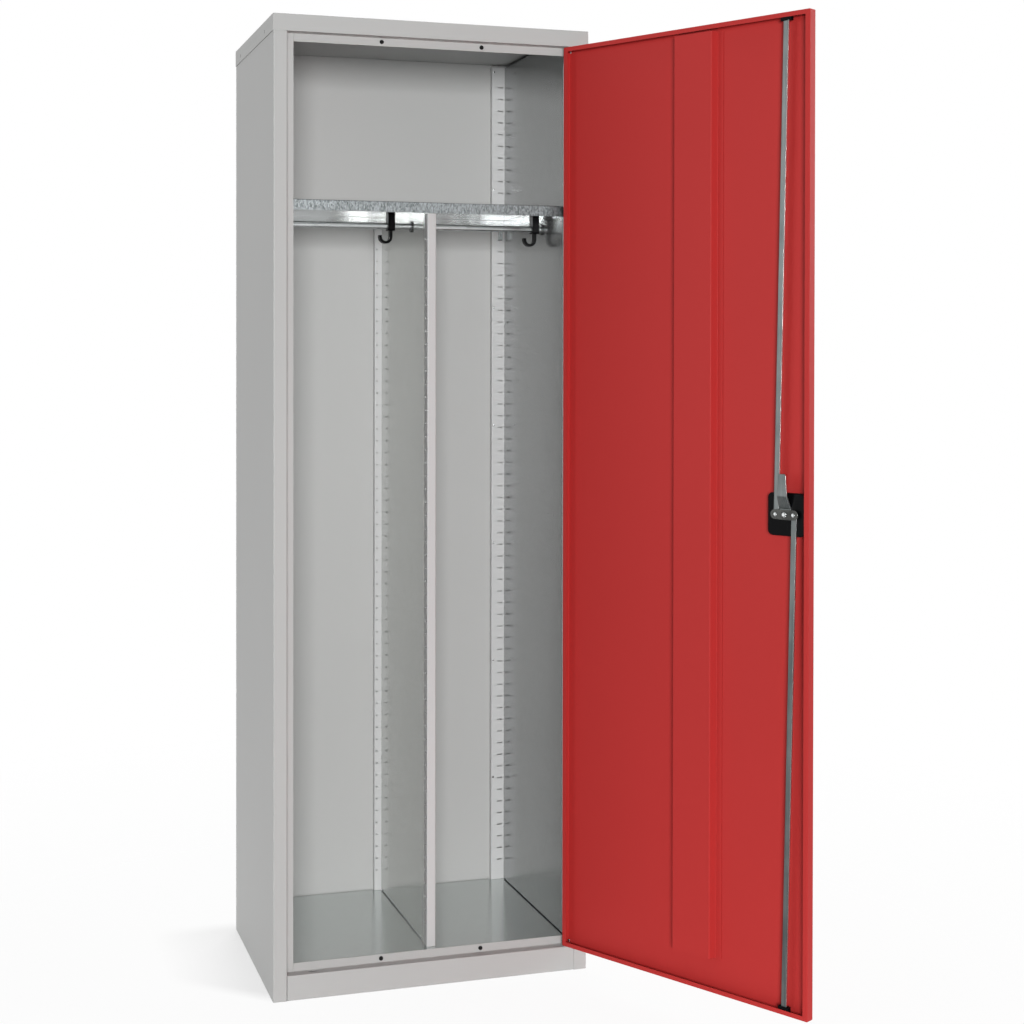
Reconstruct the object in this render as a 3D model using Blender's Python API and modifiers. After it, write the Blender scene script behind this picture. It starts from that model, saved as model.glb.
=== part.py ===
"""Steel clothing locker with one hinged door, a three-point lock, a divider, a hat shelf and hanging rails.

Metres, +Z up. The front plane is y = 0, the back is at +Y, the floor is z = 0 and x = 0 is mid-width.
The door stands open, as in the photograph; its pieces are drawn shut and swung by their parent empty.
"""
import math
from collections import namedtuple

import bmesh
import bpy
from mathutils import Matrix, Vector

# Overall size, measured over the cap
WIDTH = 0.610
DEPTH = 0.425
HEIGHT = 1.800

# Sheet metal
SHEET = 0.0010
BEND_RADIUS = 0.0016
BEND_STEPS = 3
FIT = 0.0003

# Carcass
CAP_FLANGE = 0.031
POST_FACE = 0.0257
STOP_WIDTH = 0.015
PLINTH_HEIGHT = 0.046
STOP_RISE = 0.015
SIDE_REAR_FLANGE = 0.018
FLOOR_LEVEL = 0.057
FLOOR_FLANGE = 0.012
HEADER_FLANGE = 0.027

# Inner lining, slotted uprights and divider
LINER_SET_BACK = 0.006
LINER_FRONT = 0.042
LINER_HEAD_GAP = 0.006
WALL_FOOT_GAP = 0.0025
UPRIGHT_FACE = 0.028
UPRIGHT_STANDOFF = 0.012
SLOT_PITCH = 0.025
SLOT_LENGTH = 0.011
SLOT_HEIGHT = 0.003
SLOT_EDGE = 0.004
FIRST_SLOT = 0.100
SLOT_HEAD_ROOM = 0.030
SLOTS_PER_LENGTH = 5
DIVIDER_FRONT = 0.045
DIVIDER_POST_WIDTH = 0.0175
DIVIDER_FRONT_LEG = 0.022
DIVIDER_SLOT_LENGTH = 0.0045
DIVIDER_SLOT_EDGE = 0.0025

# Shelf, rails and coat hooks
SHELF_LEVEL = 1.468
SHELF_LIP = 0.020
SHELF_FRONT = 0.040
CLIP_REACH = 0.013
CLIP_SIDE_PLAY = 0.001
RAIL_DIAMETER = 0.012
RAIL_Y = 0.167
RAIL_DROP = 0.036
SOCKET_DIAMETER = 0.022
SOCKET_THICKNESS = 0.0025
RAIL_PLAY = 0.0004
LEFT_HOOK_FROM_DIVIDER = 0.043
RIGHT_HOOK_FROM_LINER = 0.0158
HOOK_WIDTH = 0.0138
HOOK_DEPTH = 0.020
HOOK_WALL = 0.0026
HOOK_HEAD_GAP = 0.003
HOOK_BEND_RADIUS = 0.0105
HOOK_THICKNESS = 0.005
HOOK_ARM_DEPTH = 0.012
HOOK_STEM = 0.015
HOOK_TIP_RISE = 0.0035

# Door
DOOR_DEPTH = 0.018
DOOR_OPEN = math.radians(119.0)
HINGE_GAP = 0.0018
FREE_GAP = 0.0025
DOOR_END_GAP = 0.002
DOOR_LIP_FREE = 0.009
DOOR_LIP_HINGE = 0.010
DOOR_LIP_ENDS = 0.0085
BUFFER_HEIGHT = 0.003
BUFFER_DIAMETER = 0.008
BUFFER_NECK = 0.004
BUFFER_TIP = 0.002
BUFFER_SPREAD = 0.097
PIVOT_DEPTH = 0.004
PIVOT_FROM_EDGE = 0.0060
PIN_DIAMETER = 0.0034
PIN_LENGTH = 0.012
PIN_PLAY = 0.0003
BUSH_WALL = 0.0007
BUSH_LENGTH = 0.006
BUSH_FLANGE = 0.0011
STIFFENER_FROM_HINGE = 0.264
STIFFENER_CROWN = 0.082
STIFFENER_FLANGE = 0.012
STIFFENER_SLOPE = 0.004
STIFFENER_HEAD_GAP = 0.012
STIFFENER_FOOT_GAP = 0.058

# Lock
LOCK_FROM_EDGE = 0.049
COVER_WIDTH = 0.075
COVER_HEIGHT = 0.074
COVER_CORNER = 0.009
COVER_WALL = 0.0035
COVER_FLOOR = 0.0027
BEZEL_SIZE = 0.082
BEZEL_PROUD = 0.0018
DISH_DIAMETER = 0.059
DISH_TAPER = 0.002
DISH_FLOOR = 0.0023
GRIP_LENGTH = 0.052
GRIP_WIDTH = 0.013
GRIP_END_RADIUS = 0.0058
GRIP_HUB = 0.024
GRIP_SUNK = 0.0005
GRIP_PLAY = 0.0004
BARREL_DIAMETER = 0.0135
BARREL_DEPTH = 0.005
BARREL_PLAY = 0.0004
KEYWAY_LENGTH = 0.0085
KEYWAY_WIDTH = 0.0016
KEYWAY_DEPTH = 0.003
SPINDLE_SIZE = 0.008
SPINDLE_PLAY = 0.0005
ROD_WIDTH = 0.010
ROD_THICKNESS = 0.003
ROD_LIP_PLAY = 0.0014
ROD_COVER_PLAY = 0.0006
ROD_THROW = 0.018
ROD_SIDE_PLAY = 0.0036
ROD_END_SUNK = 0.001
ROD_SLOT_PLAY = 0.0016
CAM_LENGTH = 0.056
CAM_WIDTH = 0.017
CAM_THICKNESS = 0.0025
ROD_PIN_DIAMETER = 0.005
ROD_PIN_HEAD = 0.008
ROD_PIN_HEAD_RISE = 0.0012
ROD_PIN_PLAY = 0.0004
SCREW_HEAD = 0.010
SCREW_HEAD_RISE = 0.002
TONGUE_REACH = 0.070
TONGUE_TIP = 0.0145
TONGUE_TIP_RADIUS = 0.003
TONGUE_BASE = 0.025
TONGUE_THICKNESS = 0.003
TONGUE_TAIL = 0.009
TONGUE_CRANK_START = 0.0105
TONGUE_CRANK_RUN = 0.0215
TONGUE_BEHIND_STOP = 0.0006
GUIDE_WALL = 0.0020
GUIDE_HEIGHT = 0.013
GUIDE_FRONT_WALL = 0.0030

# Derived places of the carcass
LAP = SHEET + FIT
REBATE = DOOR_DEPTH + BUFFER_HEIGHT
PLINTH_FOOT = REBATE - BEND_RADIUS - FIT
SKIN_X = WIDTH / 2 - LAP
BACK_Y = DEPTH - 2 * LAP
BACK_INNER_Y = BACK_Y - SHEET
TOP_INNER_Z = HEIGHT - SHEET
PANEL_TOP_Z = TOP_INNER_Z - FIT
OPENING_X = SKIN_X - POST_FACE
OPENING_TOP = HEIGHT - CAP_FLANGE
STOP_X = OPENING_X - STOP_WIDTH
LINER_X = STOP_X + LINER_SET_BACK
UPRIGHT_Y = BACK_INNER_Y - UPRIGHT_STANDOFF
LINER_REAR = UPRIGHT_Y - FIT
LINER_TOP = TOP_INNER_Z - LINER_HEAD_GAP
WALL_FOOT = FLOOR_LEVEL + WALL_FOOT_GAP
POST_FOOT = FLOOR_LEVEL + FIT
SHELF_UNDER = SHELF_LEVEL - SHEET
SHELF_REAR = UPRIGHT_Y - FIT
SHELF_X = LINER_X - FIT
DIVIDER_TOP = SHELF_UNDER - FIT
DIVIDER_POST_TOP = SHELF_LEVEL - SHELF_LIP - FIT
DIVIDER_REAR = UPRIGHT_Y - FIT
RAIL_Z = SHELF_UNDER - RAIL_DROP

# Derived places of the door, drawn shut
DOOR_HINGE_X = OPENING_X - HINGE_GAP
DOOR_FREE_X = -OPENING_X + FREE_GAP
DOOR_FOOT = PLINTH_HEIGHT + DOOR_END_GAP
DOOR_TOP = OPENING_TOP - DOOR_END_GAP
PIVOT = Vector((DOOR_HINGE_X - PIVOT_FROM_EDGE, PIVOT_DEPTH, 0.0))
PIN_BORE = PIN_DIAMETER / 2 + PIN_PLAY
BUSH_OUTER = PIN_BORE + BUSH_WALL

# Derived places of the lock: layers counted from the outer face of the shut door
ROD_REAR = DOOR_DEPTH - SHEET - ROD_LIP_PLAY
ROD_FRONT = ROD_REAR - ROD_THICKNESS
ROD_MIDDLE = (ROD_REAR + ROD_FRONT) / 2
COVER_REAR = ROD_FRONT - ROD_COVER_PLAY
COVER_INNER = COVER_REAR - COVER_FLOOR
DISH_REAR = COVER_INNER - FIT
DISH_INNER = DISH_REAR - DISH_FLOOR
GRIP_REAR = DISH_INNER - GRIP_PLAY
GRIP_FRONT = -BEZEL_PROUD + GRIP_SUNK
CAM_FRONT = ROD_REAR + FIT
CAM_REAR = CAM_FRONT + CAM_THICKNESS
HUB = Vector((DOOR_FREE_X + LOCK_FROM_EDGE, 0.0, (DOOR_FOOT + DOOR_TOP) / 2))
CUP_SIZE = min(COVER_WIDTH, COVER_HEIGHT) - 2 * (COVER_WALL + FIT)
SPINDLE_BORE = SPINDLE_SIZE / math.sqrt(2) + SPINDLE_PLAY

ROUND_STEPS = 16
TIP_STEPS = 5
Frame = namedtuple("Frame", "empty origin")


# Scene, materials and small helpers

def clear_scene():
    for old in list(bpy.data.objects):
        bpy.data.objects.remove(old, do_unlink=True)


def new_collection(name):
    group = bpy.data.collections.new(name)
    bpy.context.scene.collection.children.link(group)
    return group


def finish(name, colour, roughness, metallic=0.0):
    material = bpy.data.materials.new(name)
    material.use_nodes = True
    shader = material.node_tree.nodes["Principled BSDF"]
    shader.inputs["Base Color"].default_value = (*colour, 1.0)
    shader.inputs["Roughness"].default_value = roughness
    shader.inputs["Metallic"].default_value = metallic
    return material


clear_scene()
PARTS = new_collection("clothing_locker")
CUTTERS = new_collection("cutters")

GREY_PAINT = finish("grey_paint", (0.50, 0.50, 0.47), 0.42)
RED_PAINT = finish("red_paint", (0.45, 0.038, 0.035), 0.45)
GALVANISED = finish("galvanised_sheet", (0.60, 0.62, 0.63), 0.30, 0.9)
ZINC = finish("zinc_plated_steel", (0.50, 0.53, 0.54), 0.32, 1.0)
BLACK_PLASTIC = finish("black_plastic", (0.012, 0.012, 0.013), 0.38)
RUBBER = finish("black_rubber", (0.010, 0.010, 0.010), 0.75)
NYLON = finish("pale_nylon", (0.62, 0.61, 0.57), 0.50)


def place(obj, frame):
    """Hang a piece that is drawn in the shut position on its frame's empty."""
    if frame is None:
        return
    obj.parent = frame.empty
    obj.matrix_parent_inverse = Matrix.Translation(-frame.origin)


def axis_frame(name, origin, parent=None, turn=None):
    """Empty on a joint's axis; turn is its rotation away from the drawn position."""
    empty = bpy.data.objects.new(name, None)
    empty.empty_display_size = 0.05
    PARTS.objects.link(empty)
    empty.location = origin
    if turn is not None:
        empty.rotation_euler = turn
    place(empty, parent)
    return Frame(empty, Vector(origin))


def mesh_object(name, bm, material, frame=None):
    mesh = bpy.data.meshes.new(name)
    bm.to_mesh(mesh)
    bm.free()
    obj = bpy.data.objects.new(name, mesh)
    if material is None:
        obj.hide_render = True
        obj.display_type = "WIRE"
        CUTTERS.objects.link(obj)
    else:
        mesh.materials.append(material)
        PARTS.objects.link(obj)
    place(obj, frame)
    return obj


def boolean(obj, other, operation="DIFFERENCE"):
    step = obj.modifiers.new(operation.lower() + "_" + other.name, "BOOLEAN")
    step.operation = operation
    step.solver = "EXACT"
    step.object = other


def smooth(obj, angle=35.0):
    obj.data.shade_smooth()
    obj.data.set_sharp_from_angle(angle=math.radians(angle))


def box_matrix(lo, hi):
    lo = Vector(lo)
    hi = Vector(hi)
    size = Matrix.Diagonal((*(hi - lo), 1.0))
    return Matrix.Translation((lo + hi) / 2) @ size


def box_cutter(name, boxes, frame=None):
    """One cutter of several separate boxes, each given by its two corners."""
    bm = bmesh.new()
    for lo, hi in boxes:
        bmesh.ops.create_cube(bm, size=1.0, matrix=box_matrix(lo, hi))
    return mesh_object(name, bm, None, frame)


def edges_along(bm, axis):
    found = []
    for edge in bm.edges:
        run = (edge.verts[1].co - edge.verts[0].co).normalized()
        if abs(run[axis]) > 0.99:
            found.append(edge)
    return found


def round_edges(bm, edges, radius, steps):
    bmesh.ops.bevel(bm, geom=edges, offset=radius, segments=steps, profile=0.5, affect="EDGES", material=-1)


def rounded_block(name, lo, hi, axis, radius, material, frame=None, rim=0.0, steps=4):
    """Block whose edges along one axis are rounded; rim also eases its far face."""
    bm = bmesh.new()
    bmesh.ops.create_cube(bm, size=1.0, matrix=box_matrix(lo, hi))
    round_edges(bm, edges_along(bm, axis), radius, steps)
    if rim > 0.0:
        far = [e for e in bm.edges if all(abs(v.co[axis] - hi[axis]) < FIT / 10 for v in e.verts)]
        round_edges(bm, far, rim, 2)
    return mesh_object(name, bm, material, frame)


def cylinder(name, centre, axis, radius, length, material, frame=None, steps=ROUND_STEPS, end_radius=None):
    """Cylinder or cone along an axis, from the low end to the high end."""
    turn = {0: Matrix.Rotation(math.pi / 2, 4, "Y"), 1: Matrix.Rotation(-math.pi / 2, 4, "X")}
    bm = bmesh.new()
    bmesh.ops.create_cone(
        bm,
        cap_ends=True,
        segments=steps,
        radius1=radius,
        radius2=radius if end_radius is None else end_radius,
        depth=length,
        matrix=Matrix.Translation(centre) @ turn.get(axis, Matrix.Identity(4)),
    )
    return mesh_object(name, bm, material, frame)


def domed_head(radius, rise):
    """Profile of a low domed head, from its middle to its rim."""
    return [(0.0, rise), (radius * 0.6, rise), (radius, rise / 2), (radius, 0.0)]


def turned(name, profile, material, location, turn=(0.0, 0.0, 0.0), frame=None, ring=False):
    """Turned piece: (radius, height) points, down the outer side, spun about its own Z."""
    bm = bmesh.new()
    row = [bm.verts.new((radius, 0.0, height)) for radius, height in profile]
    for pair in zip(row, row[1:]):
        bm.edges.new(pair)
    if ring:
        bm.edges.new((row[-1], row[0]))
    obj = mesh_object(name, bm, material, None)
    obj.location = location
    obj.rotation_euler = turn
    place(obj, frame)
    screw = obj.modifiers.new("turn", "SCREW")
    screw.axis = "Z"
    screw.steps = ROUND_STEPS
    screw.render_steps = ROUND_STEPS
    screw.use_merge_vertices = True
    screw.merge_threshold = 0.00001
    return obj


def rounded_path(points, radius, steps=BEND_STEPS):
    """Polyline with each corner replaced by an arc of the given radius."""
    corners = [Vector(p) for p in points]
    path = [corners[0]]
    for before, corner, after in zip(corners, corners[1:], corners[2:]):
        come = (corner - before).normalized()
        leave = (after - corner).normalized()
        bend = math.atan2(come.x * leave.y - come.y * leave.x, come.dot(leave))
        side = 1.0 if bend > 0.0 else -1.0
        start = corner - come * radius * math.tan(abs(bend) / 2)
        centre = start + Vector((-come.y, come.x)) * radius * side
        for step in range(steps + 1):
            path.append(centre + Matrix.Rotation(bend * step / steps, 2) @ (start - centre))
    path.append(corners[-1])
    return path


RUN = {
    "x": lambda p, s: (s, p[0], p[1]),
    "y": lambda p, s: (p[0], s, p[1]),
    "z": lambda p, s: (p[0], p[1], s),
}


def solidify(obj, thickness, offset):
    step = obj.modifiers.new("sheet", "SOLIDIFY")
    step.thickness = thickness
    step.offset = offset
    step.use_even_offset = True


def grow_rim(bm, edges, step):
    """Extrude a rim of edges by step and return the new rim and its points."""
    grown = bmesh.ops.extrude_edge_only(bm, edges=edges)["geom"]
    points = [v for v in grown if isinstance(v, bmesh.types.BMVert)]
    bmesh.ops.translate(bm, verts=points, vec=step)
    rim = [e for e in grown if isinstance(e, bmesh.types.BMEdge) and all(v in points for v in e.verts)]
    return rim, points


def folded_strip(name, profile, axis, runs, material, frame=None, radius=BEND_RADIUS, thickness=SHEET):
    """Sheet folded along a profile, which is drawn on its middle surface and run along an axis.

    runs gives the start and the end, and any places between them where the faces are divided.
    """
    bm = bmesh.new()
    row = [bm.verts.new(RUN[axis](p, runs[0])) for p in rounded_path(profile, radius)]
    rim = [bm.edges.new(pair) for pair in zip(row, row[1:])]
    for start, end in zip(runs, runs[1:]):
        rim, _ = grow_rim(bm, rim, RUN[axis]((0.0, 0.0), end - start))
    obj = mesh_object(name, bm, material, frame)
    solidify(obj, thickness, 0.0)
    smooth(obj)
    return obj


def folded_pan(name, lo, hi, depth, turn, material, frame=None, lips=None):
    """Panel with a flange on each side, drawn face up at z = 0 and then turned into place.

    lips gives the widths turned in at the low x, high x, low y and high y flanges.
    """
    bm = bmesh.new()
    corners = [(lo[0], lo[1]), (hi[0], lo[1]), (hi[0], hi[1]), (lo[0], hi[1])]
    face = bm.faces.new([bm.verts.new((x, y, 0.0)) for x, y in corners])
    rim, points = grow_rim(bm, list(face.edges), (0.0, 0.0, -depth))
    if lips is not None:
        rim, points = grow_rim(bm, rim, (0.0, 0.0, 0.0))
        middle = ((lo[0] + hi[0]) / 2, (lo[1] + hi[1]) / 2)
        for point in points:
            point.co.x += lips[0] if point.co.x < middle[0] else -lips[1]
            point.co.y += lips[2] if point.co.y < middle[1] else -lips[3]
    bmesh.ops.recalc_face_normals(bm, faces=list(bm.faces))
    face.normal_update()
    if face.normal.z < 0.0:
        bmesh.ops.reverse_faces(bm, faces=list(bm.faces))
    bm.transform(turn)
    obj = mesh_object(name, bm, material, frame)
    bend = obj.modifiers.new("bends", "BEVEL")
    bend.width = BEND_RADIUS
    bend.segments = 2
    bend.limit_method = "ANGLE"
    bend.angle_limit = math.radians(40.0)
    solidify(obj, SHEET, -1.0)
    smooth(obj)
    return obj


def arc_points(centre, radius, start, end, steps):
    points = []
    for step in range(steps + 1):
        angle = start + (end - start) * step / steps
        points.append((centre[0] + radius * math.cos(angle), centre[1] + radius * math.sin(angle)))
    return points


def round_hole(centre, radius, steps=ROUND_STEPS):
    return arc_points(centre, radius, 0.0, 2 * math.pi, steps)[:-1]


def stadium(start, end, radius, steps=8):
    """Outline of a bar with round ends; start is the low end and end the high end, along y."""
    high = arc_points(end, radius, 0.0, math.pi, steps)
    low = arc_points(start, radius, math.pi, 2 * math.pi, steps)
    return high + low


def flat_plate(name, outlines, thickness, location, material, frame, turn=0.0):
    """Plate cut from flat stock, standing in the XZ plane; the later outlines are holes."""
    curve = bpy.data.curves.new(name, "CURVE")
    curve.dimensions = "2D"
    curve.fill_mode = "BOTH"
    curve.extrude = thickness / 2
    for outline in outlines:
        spline = curve.splines.new("POLY")
        spline.points.add(len(outline) - 1)
        for point, (x, y) in zip(spline.points, outline):
            point.co = (x, y, 0.0, 1.0)
        spline.use_cyclic_u = True
    obj = bpy.data.objects.new(name, curve)
    curve.materials.append(material)
    PARTS.objects.link(obj)
    obj.location = location
    obj.rotation_euler = (math.pi / 2, turn, 0.0)
    place(obj, frame)
    return obj


# Carcass

def side_panels():
    """Side skins folded round the front posts into the door stops."""
    middle = SHEET / 2
    rear_y = BACK_INNER_Y - FIT - middle
    for name, side in (("left_side_panel", -1.0), ("right_side_panel", 1.0)):
        skin = side * (SKIN_X - middle)
        profile = [
            (skin - side * SIDE_REAR_FLANGE, rear_y),
            (skin, rear_y),
            (skin, middle),
            (side * (OPENING_X + middle), middle),
            (side * (OPENING_X + middle), REBATE + middle),
            (side * STOP_X, REBATE + middle),
        ]
        folded_strip(name, profile, "z", (0.0, PANEL_TOP_Z), GREY_PAINT)


def back_panel():
    bm = bmesh.new()
    reach = SKIN_X
    lo = (-reach, BACK_INNER_Y, 0.0)
    hi = (reach, BACK_Y, PANEL_TOP_Z)
    bmesh.ops.create_cube(bm, size=1.0, matrix=box_matrix(lo, hi))
    mesh_object("back_panel", bm, GREY_PAINT)


def top_cap():
    lo = (-WIDTH / 2, -LAP)
    hi = (WIDTH / 2, BACK_Y + LAP)
    folded_pan("top_cap", lo, hi, CAP_FLANGE, Matrix.Translation((0.0, 0.0, HEIGHT)), GREY_PAINT)


def stop_cuts(name, low, high):
    """Corner notches that let the side stops run past."""
    notch_y = REBATE - BEND_RADIUS
    boxes = []
    for side in (-1.0, 1.0):
        xs = sorted((side * (STOP_X - FIT), side * (OPENING_X + LAP)))
        boxes.append(((xs[0], notch_y, low), (xs[1], notch_y + 4 * LAP, high)))
    return box_cutter(name, boxes)


def rod_slot(name, z):
    """Slot in a rebate sheet at height z, where a lock rod shoots through."""
    half = ROD_WIDTH / 2 + ROD_SIDE_PLAY
    lo = (HUB.x - half, ROD_FRONT - ROD_SLOT_PLAY, z - LAP)
    hi = (HUB.x + half, ROD_REAR + ROD_SLOT_PLAY, z + LAP)
    return box_cutter(name, [(lo, hi)])


def pin_hole(name, z):
    return cylinder(name, (PIVOT.x, PIVOT.y, z), 2, PIN_BORE, 2 * LAP, None)


def buffer_holes(name, z):
    radius = BUFFER_NECK / 2 + PIN_PLAY
    bm = bmesh.new()
    for x in (-BUFFER_SPREAD, BUFFER_SPREAD):
        where = Matrix.Translation((x, REBATE + SHEET / 2, z))
        bmesh.ops.create_cone(
            bm,
            cap_ends=True,
            segments=ROUND_STEPS,
            radius1=radius,
            radius2=radius,
            depth=2 * LAP,
            matrix=where @ Matrix.Rotation(math.pi / 2, 4, "X"),
        )
    return mesh_object(name, bm, None)


def plinth_and_header():
    """Front rails below and above the door: each has a rebate sheet and a stop."""
    middle = SHEET / 2
    reach = OPENING_X - FIT
    low = PLINTH_HEIGHT - middle
    plinth = folded_strip(
        "plinth",
        [
            (PLINTH_FOOT, middle),
            (middle, middle),
            (middle, low),
            (REBATE + middle, low),
            (REBATE + middle, PLINTH_HEIGHT + STOP_RISE),
        ],
        "x",
        (-reach, reach),
        GREY_PAINT,
    )
    high = OPENING_TOP + middle
    header = folded_strip(
        "header_rail",
        [
            (middle, OPENING_TOP + HEADER_FLANGE),
            (middle, high),
            (REBATE + middle, high),
            (REBATE + middle, OPENING_TOP - STOP_RISE),
        ],
        "x",
        (-reach, reach),
        GREY_PAINT,
    )
    rise = STOP_RISE + LAP
    boolean(plinth, stop_cuts("plinth_notches", PLINTH_HEIGHT - 3 * LAP, PLINTH_HEIGHT + rise))
    boolean(header, stop_cuts("header_notches", OPENING_TOP - rise, OPENING_TOP + 3 * LAP))
    for rail, name, sheet_z, stop_z in (
        (plinth, "plinth", low, PLINTH_HEIGHT + STOP_RISE / 2),
        (header, "header", high, OPENING_TOP - STOP_RISE / 2),
    ):
        boolean(rail, rod_slot(name + "_rod_slot", sheet_z))
        boolean(rail, pin_hole(name + "_pin_hole", sheet_z))
        boolean(rail, buffer_holes(name + "_buffer_holes", stop_z))


def floor_pan():
    reach = SKIN_X - LAP
    lo = (-reach, REBATE + LAP + BUFFER_HEIGHT)
    hi = (reach, BACK_INNER_Y - 2 * LAP)
    where = Matrix.Translation((0.0, 0.0, FLOOR_LEVEL))
    folded_pan("floor_pan", lo, hi, FLOOR_FLANGE, where, GALVANISED)


def buffers():
    """Push-in rubber buffers: a domed head on the stop, a neck through it and a barb behind."""
    neck = BUFFER_NECK / 2
    profile = domed_head(BUFFER_DIAMETER / 2, BUFFER_HEIGHT - 2 * FIT) + [
        (neck, 0.0),
        (neck, -LAP - FIT),
        (neck + 2 * PIN_PLAY, -LAP - FIT),
        (BUFFER_TIP / 2, -LAP - BUFFER_HEIGHT),
        (0.0, -LAP - BUFFER_HEIGHT),
    ]
    heights = (("lower", PLINTH_HEIGHT + STOP_RISE / 2), ("upper", OPENING_TOP - STOP_RISE / 2))
    for level, z in heights:
        for side, x in (("left", -BUFFER_SPREAD), ("right", BUFFER_SPREAD)):
            where = (x, REBATE - FIT, z)
            turned(f"{level}_{side}_buffer", profile, RUBBER, where, (math.pi / 2, 0.0, 0.0))


def hinge_pins():
    """Fixed pins, headed inside the plinth and the header, on which the door turns."""
    radius = PIN_DIAMETER / 2
    head = min(BUSH_OUTER, PIVOT_DEPTH - LAP)
    profile = [
        (0.0, 2 * LAP),
        (head, 2 * LAP),
        (head, LAP),
        (radius, LAP),
        (radius, -PIN_LENGTH),
        (0.0, -PIN_LENGTH),
    ]
    turned("upper_hinge_pin", profile, ZINC, (PIVOT.x, PIVOT.y, OPENING_TOP))
    turned("lower_hinge_pin", profile, ZINC, (PIVOT.x, PIVOT.y, PLINTH_HEIGHT), (math.pi, 0.0, 0.0))


# Inner fittings

def slot_heights(top):
    count = int((top - SLOT_HEAD_ROOM - FIRST_SLOT) / SLOT_PITCH) + 1
    return [FIRST_SLOT + SLOT_PITCH * number for number in range(count)]


def slotted_runs(top):
    """Foot, top and the divisions of a slotted strip, each midway between two slots."""
    heights = slot_heights(top)[SLOTS_PER_LENGTH::SLOTS_PER_LENGTH]
    return [POST_FOOT] + [z - SLOT_PITCH / 2 for z in heights] + [top]


def liners_and_uprights():
    """Smooth inner walls, boxed out from the side skins, with a slotted upright in each rear corner."""
    middle = SHEET / 2
    for name, side in (("left", -1.0), ("right", 1.0)):
        wall = side * (LINER_X + middle)
        liner = [
            (side * (SKIN_X - LAP), LINER_FRONT + middle),
            (wall, LINER_FRONT + middle),
            (wall, LINER_REAR),
        ]
        folded_strip(name + "_liner", liner, "z", (WALL_FOOT, LINER_TOP), GALVANISED)
        inner = side * (LINER_X - UPRIGHT_FACE + middle)
        upright = [
            (side * (LINER_X + SHEET), UPRIGHT_Y + middle),
            (inner, UPRIGHT_Y + middle),
            (inner, BACK_INNER_Y - FIT),
        ]
        strip = folded_strip(name + "_rear_upright", upright, "z", slotted_runs(LINER_TOP), GREY_PAINT)
        xs = sorted((side * (LINER_X - SLOT_EDGE), side * (LINER_X - SLOT_EDGE - SLOT_LENGTH)))
        boxes = []
        for z in slot_heights(LINER_TOP):
            lo = (xs[0], UPRIGHT_Y - LAP, z - SLOT_HEIGHT / 2)
            hi = (xs[1], UPRIGHT_Y + 2 * LAP, z + SLOT_HEIGHT / 2)
            boxes.append((lo, hi))
        boolean(strip, box_cutter(name + "_upright_slots", boxes))


def divider():
    """Divider sheet between two slotted channel posts, one at its front and one at its rear."""
    middle = SHEET / 2
    bm = bmesh.new()
    lo = (-middle, DIVIDER_FRONT + SHEET + BEND_RADIUS, WALL_FOOT)
    hi = (middle, DIVIDER_REAR, DIVIDER_TOP)
    bmesh.ops.create_cube(bm, size=1.0, matrix=box_matrix(lo, hi))
    sheet = mesh_object("divider_sheet", bm, GALVANISED)
    lip_lo = (-LAP, SHELF_REAR - SHEET - FIT, DIVIDER_POST_TOP)
    lip_hi = (LAP, DIVIDER_REAR + LAP, DIVIDER_TOP + LAP)
    boolean(sheet, box_cutter("shelf_lip_notch", [(lip_lo, lip_hi)]))
    near = middle + FIT + middle
    far = DIVIDER_POST_WIDTH - near - SHEET
    front_web = DIVIDER_FRONT + middle
    front_leg = DIVIDER_FRONT + DIVIDER_FRONT_LEG
    rear_web = UPRIGHT_Y + middle
    rear_leg = BACK_INNER_Y - FIT
    front = [(-near, front_leg), (-near, front_web), (far, front_web), (far, front_leg)]
    rear = [(near, rear_leg), (near, rear_web), (-far, rear_web), (-far, rear_leg)]
    slot_y = DIVIDER_FRONT + SLOT_EDGE
    slot_x = DIVIDER_SLOT_EDGE - far - middle
    slot_end = slot_x + DIVIDER_SLOT_LENGTH
    posts = (
        ("divider_front_post", front, (-near - LAP, slot_y), (far + LAP, slot_y + SLOT_LENGTH)),
        ("divider_rear_post", rear, (slot_x, rear_web - LAP), (slot_end, rear_web + LAP)),
    )
    half = SLOT_HEIGHT / 2
    for name, profile, slot_lo, slot_hi in posts:
        post = folded_strip(name, profile, "z", slotted_runs(DIVIDER_POST_TOP), GREY_PAINT)
        boxes = []
        for z in slot_heights(DIVIDER_POST_TOP):
            boxes.append(((*slot_lo, z - half), (*slot_hi, z + half)))
        boolean(post, box_cutter(name + "_slots", boxes))


def shelf():
    where = Matrix.Translation((0.0, 0.0, SHELF_LEVEL))
    folded_pan("hat_shelf", (-SHELF_X, SHELF_FRONT), (SHELF_X, SHELF_REAR), SHELF_LIP, where, GALVANISED)


def shelf_clips():
    """Bent clips that hook into a slot of each upright and carry the shelf's rear lip."""
    lip = SHELF_LEVEL - SHELF_LIP
    slots = [z for z in slot_heights(LINER_TOP) if z < lip - SLOT_HEIGHT]
    hook_z = slots[-1]
    middle = SHEET / 2
    seat_z = lip - FIT - middle
    front = UPRIGHT_Y - FIT - middle
    profile = [
        (UPRIGHT_Y + SHEET + 2 * LAP, hook_z),
        (front, hook_z),
        (front, seat_z),
        (front - CLIP_REACH, seat_z),
    ]
    for name, side in (("left_shelf_clip", -1.0), ("right_shelf_clip", 1.0)):
        outer = side * (LINER_X - SLOT_EDGE - CLIP_SIDE_PLAY)
        inner = side * (LINER_X - SLOT_EDGE - SLOT_LENGTH + CLIP_SIDE_PLAY)
        folded_strip(name, profile, "x", sorted((outer, inner)), ZINC, radius=SHEET)


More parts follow.
